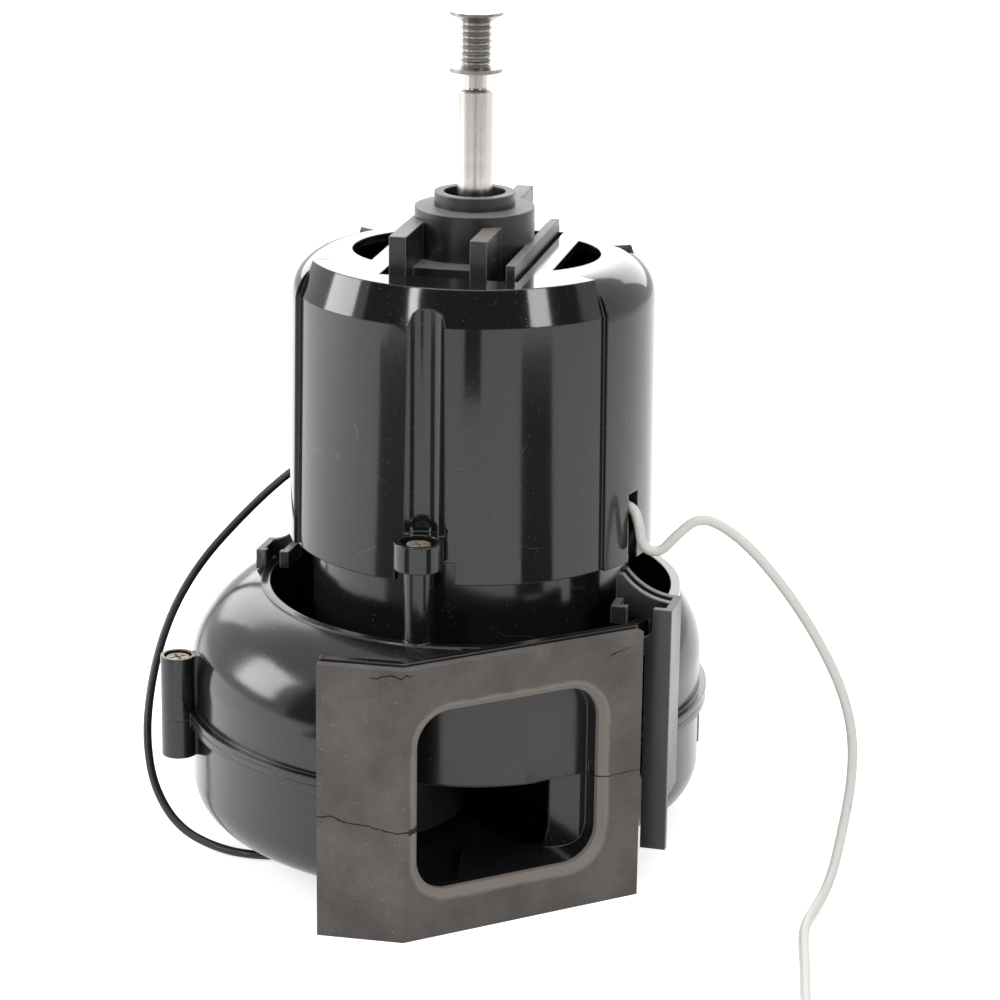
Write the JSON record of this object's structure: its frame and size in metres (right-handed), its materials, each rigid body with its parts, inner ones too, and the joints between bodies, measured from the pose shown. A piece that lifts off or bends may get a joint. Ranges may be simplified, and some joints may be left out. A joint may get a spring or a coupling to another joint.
{
  "type": "vacuum motor unit",
  "caption": "Upright vacuum motor with a deep cover on a two-piece fan scroll, rectangular outlet with a foam gasket, bearing tower, belt pulley on the shaft and two leads",
  "frame": {"origin": "centre of the inlet collar's lower end, on the motor shaft's axis", "axes": "+Z along the shaft to the pulley, -Y the way the air leaves the outlet, +X to the right of the outlet seen from in front"},
  "size_m": [0.1638, 0.2879, 0.2325],
  "materials": {
    "gloss_black": "glossy black moulding, fine scratches and dust",
    "satin_black": "satin black moulding, dusty",
    "foam_rubber": "worn grey-brown foam rubber",
    "soft_rubber": "black rubber",
    "felt": "grey felt",
    "steel": "bare turned steel",
    "lamination_steel": "stacked dark laminations",
    "copper": "enamelled copper",
    "brass": "plain brass",
    "clear_fan": "smoky moulded fan",
    "bare_plate": "bare pale plate",
    "black_lead": "black insulation",
    "white_lead": "grubby white insulation",
    "carbon": "pressed carbon"
  },
  "bodies": {
    "unit": {"lower_fan_housing": "gloss_black", "upper_fan_housing": "gloss_black", "outlet_gasket": "foam_rubber", "vibration_ring": "soft_rubber", "shaft_seal": "felt", "motor_cradle": "gloss_black", "stator_core": "lamination_steel", "field_coil_front": "copper", "field_coil_rear": "copper", "thermal_cutout": "satin_black", "bearing_bridge": "satin_black", "upper_bearing_outer_race": "steel", "lower_bearing_outer_race": "steel", "motor_cover": "gloss_black", "right_wire_bracket": "satin_black", "left_wire_guide": "satin_black", "rating_plate": "bare_plate", "black_lead": "black_lead", "black_lead_terminal": "brass", "white_lead": "white_lead", "white_lead_terminal": "brass", "brush_holder_left": "brass", "brush_holder_right": "brass", "brush_spring_left": "steel", "brush_spring_right": "steel", "cover_screw_front": "steel", "cover_screw_rear": "steel", "bridge_screw_front": "steel", "bridge_screw_rear": "steel", "housing_screw_left": "steel", "housing_screw_rear": "steel", "housing_screw_right": "steel"},
    "rotor": {"rotor_shaft": "steel", "drive_pulley": "steel", "armature_core": "lamination_steel", "armature_winding": "copper", "commutator": "copper", "cooling_fan": "satin_black", "impeller": "clear_fan", "impeller_sleeve": "steel", "impeller_washer": "steel", "impeller_nut": "steel", "upper_bearing_inner_race": "steel", "lower_bearing_inner_race": "steel"},
    "upper_balls": {"upper_bearing_balls": "steel"},
    "lower_balls": {"lower_bearing_balls": "steel"},
    "brush_left": {"carbon_brush_left": "carbon"},
    "brush_right": {"carbon_brush_right": "carbon"}
  },
  "joints": [
    {"name": "rotor_spin", "type": "hinge", "parent": "unit", "child": "rotor", "pos_m": [0, 0, 0.12], "axis": [0, 0, 1], "continuous": true},
    {"name": "upper_cage_spin", "type": "hinge", "parent": "unit", "child": "upper_balls", "pos_m": [0, 0, 0.16893], "axis": [0, 0, 1], "continuous": true},
    {"name": "lower_cage_spin", "type": "hinge", "parent": "unit", "child": "lower_balls", "pos_m": [0, 0, 0.04457], "axis": [0, 0, 1], "continuous": true},
    {"name": "brush_left_slide", "type": "slide", "parent": "unit", "child": "brush_left", "axis": [-0.766, 0.6428, 0], "range_m": [0, 0.005], "stiffness_N_per_m": 150, "springref_m": -0.004, "deforming": ["brush_spring_left"]},
    {"name": "brush_right_slide", "type": "slide", "parent": "unit", "child": "brush_right", "axis": [0.766, -0.6428, 0], "range_m": [0, 0.005], "stiffness_N_per_m": 150, "springref_m": -0.004, "deforming": ["brush_spring_right"]}
  ],
  "couplings": [
    {"joint": "upper_cage_spin", "follows": "rotor_spin", "ratio": 0.434},
    {"joint": "lower_cage_spin", "follows": "rotor_spin", "ratio": 0.434}
  ]
}
